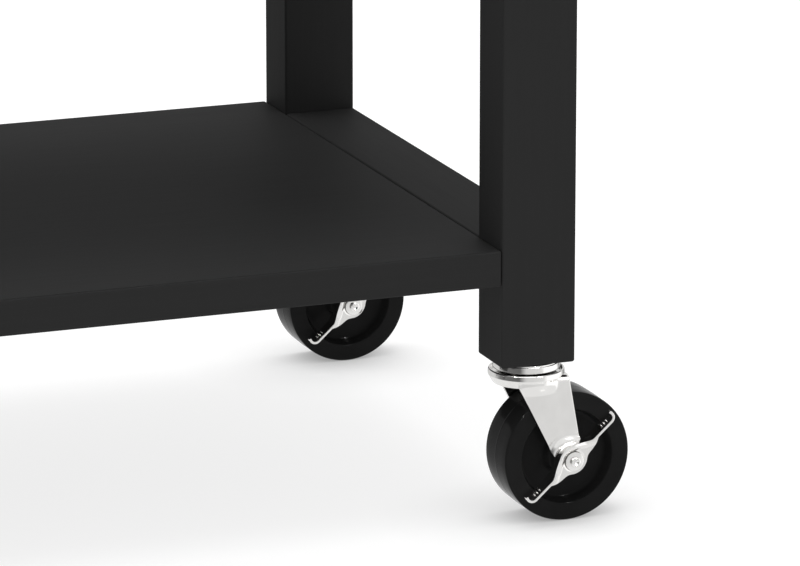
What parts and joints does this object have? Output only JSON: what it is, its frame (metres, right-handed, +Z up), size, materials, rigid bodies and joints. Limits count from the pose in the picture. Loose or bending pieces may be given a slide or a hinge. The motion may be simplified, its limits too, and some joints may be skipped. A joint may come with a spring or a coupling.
{
  "type": "bar cart",
  "caption": "Three-tier bar cart in black lacquered wood with push bars at both ends, rolling on swivel stem casters with side brakes.",
  "frame": {"origin": "on the floor under the middle of the cart", "axes": "+Z up, +X along the cart's length towards the right end, -Y the front long side"},
  "size_m": [0.729, 0.412, 0.87],
  "materials": {
    "black_lacquer": "satin black lacquer on wood",
    "zinc_plate": "bright zinc plate on pressed steel",
    "bearing_steel": "ground steel balls in a wire cage",
    "black_polymer": "glossy moulded black"
  },
  "bodies": {
    "cart_frame": {"serving_board": "black_lacquer", "front_apron": "black_lacquer", "rear_apron": "black_lacquer", "left_apron": "black_lacquer", "right_apron": "black_lacquer", "left_push_bar": "black_lacquer", "right_push_bar": "black_lacquer", "middle_shelf_panel": "black_lacquer", "middle_shelf_left_rail": "black_lacquer", "middle_shelf_right_rail": "black_lacquer", "lower_shelf_panel": "black_lacquer", "lower_shelf_left_rail": "black_lacquer", "lower_shelf_right_rail": "black_lacquer", "front_left_leg": "black_lacquer", "front_left_leg_insert": "zinc_plate", "front_left_stem": "zinc_plate", "front_left_upper_race": "zinc_plate", "front_right_leg": "black_lacquer", "front_right_leg_insert": "zinc_plate", "front_right_stem": "zinc_plate", "front_right_upper_race": "zinc_plate", "rear_left_leg": "black_lacquer", "rear_left_leg_insert": "zinc_plate", "rear_left_stem": "zinc_plate", "rear_left_upper_race": "zinc_plate", "rear_right_leg": "black_lacquer", "rear_right_leg_insert": "zinc_plate", "rear_right_stem": "zinc_plate", "rear_right_upper_race": "zinc_plate"},
    "front_left_swivel_fork": {"front_left_fork": "zinc_plate", "front_left_ball_cage": "bearing_steel", "front_left_hub_sleeve": "zinc_plate", "front_left_axle_rivet": "zinc_plate", "front_left_brake_cam": "zinc_plate"},
    "front_left_rolling_wheel": {"front_left_wheel": "black_polymer"},
    "front_left_brake": {"front_left_brake_lever": "zinc_plate"},
    "front_right_swivel_fork": {"front_right_fork": "zinc_plate", "front_right_ball_cage": "bearing_steel", "front_right_hub_sleeve": "zinc_plate", "front_right_axle_rivet": "zinc_plate", "front_right_brake_cam": "zinc_plate"},
    "front_right_rolling_wheel": {"front_right_wheel": "black_polymer"},
    "front_right_brake": {"front_right_brake_lever": "zinc_plate"},
    "rear_left_swivel_fork": {"rear_left_fork": "zinc_plate", "rear_left_ball_cage": "bearing_steel", "rear_left_hub_sleeve": "zinc_plate", "rear_left_axle_rivet": "zinc_plate", "rear_left_brake_cam": "zinc_plate"},
    "rear_left_rolling_wheel": {"rear_left_wheel": "black_polymer"},
    "rear_left_brake": {"rear_left_brake_lever": "zinc_plate"},
    "rear_right_swivel_fork": {"rear_right_fork": "zinc_plate", "rear_right_ball_cage": "bearing_steel", "rear_right_hub_sleeve": "zinc_plate", "rear_right_axle_rivet": "zinc_plate", "rear_right_brake_cam": "zinc_plate"},
    "rear_right_rolling_wheel": {"rear_right_wheel": "black_polymer"},
    "rear_right_brake": {"rear_right_brake_lever": "zinc_plate"}
  },
  "joints": [
    {"name": "front_left_swivel", "type": "hinge", "parent": "cart_frame", "child": "front_left_swivel_fork", "pos_m": [-0.308, -0.176, 0.093], "axis": [0, 0, 1], "continuous": true},
    {"name": "front_left_roll", "type": "hinge", "parent": "front_left_swivel_fork", "child": "front_left_rolling_wheel", "pos_m": [-0.327, -0.176, 0.0375], "axis": [0, -1, 0], "continuous": true},
    {"name": "front_left_brake_press", "type": "hinge", "parent": "front_left_swivel_fork", "child": "front_left_brake", "pos_m": [-0.327, -0.176, 0.0375], "axis": [0, -1, 0], "range_deg": [0, 40]},
    {"name": "front_right_swivel", "type": "hinge", "parent": "cart_frame", "child": "front_right_swivel_fork", "pos_m": [0.308, -0.176, 0.093], "axis": [0, 0, 1], "continuous": true},
    {"name": "front_right_roll", "type": "hinge", "parent": "front_right_swivel_fork", "child": "front_right_rolling_wheel", "pos_m": [0.327, -0.176, 0.0375], "axis": [0, 1, 0], "continuous": true},
    {"name": "front_right_brake_press", "type": "hinge", "parent": "front_right_swivel_fork", "child": "front_right_brake", "pos_m": [0.327, -0.176, 0.0375], "axis": [0, 1, 0], "range_deg": [0, 40]},
    {"name": "rear_left_swivel", "type": "hinge", "parent": "cart_frame", "child": "rear_left_swivel_fork", "pos_m": [-0.308, 0.176, 0.093], "axis": [0, 0, 1], "continuous": true},
    {"name": "rear_left_roll", "type": "hinge", "parent": "rear_left_swivel_fork", "child": "rear_left_rolling_wheel", "pos_m": [-0.327, 0.176, 0.0375], "axis": [0, -1, 0], "continuous": true},
    {"name": "rear_left_brake_press", "type": "hinge", "parent": "rear_left_swivel_fork", "child": "rear_left_brake", "pos_m": [-0.327, 0.176, 0.0375], "axis": [0, -1, 0], "range_deg": [0, 40]},
    {"name": "rear_right_swivel", "type": "hinge", "parent": "cart_frame", "child": "rear_right_swivel_fork", "pos_m": [0.308, 0.176, 0.093], "axis": [0, 0, 1], "continuous": true},
    {"name": "rear_right_roll", "type": "hinge", "parent": "rear_right_swivel_fork", "child": "rear_right_rolling_wheel", "pos_m": [0.327, 0.176, 0.0375], "axis": [0, 1, 0], "continuous": true},
    {"name": "rear_right_brake_press", "type": "hinge", "parent": "rear_right_swivel_fork", "child": "rear_right_brake", "pos_m": [0.327, 0.176, 0.0375], "axis": [0, 1, 0], "range_deg": [0, 40]}
  ]
}
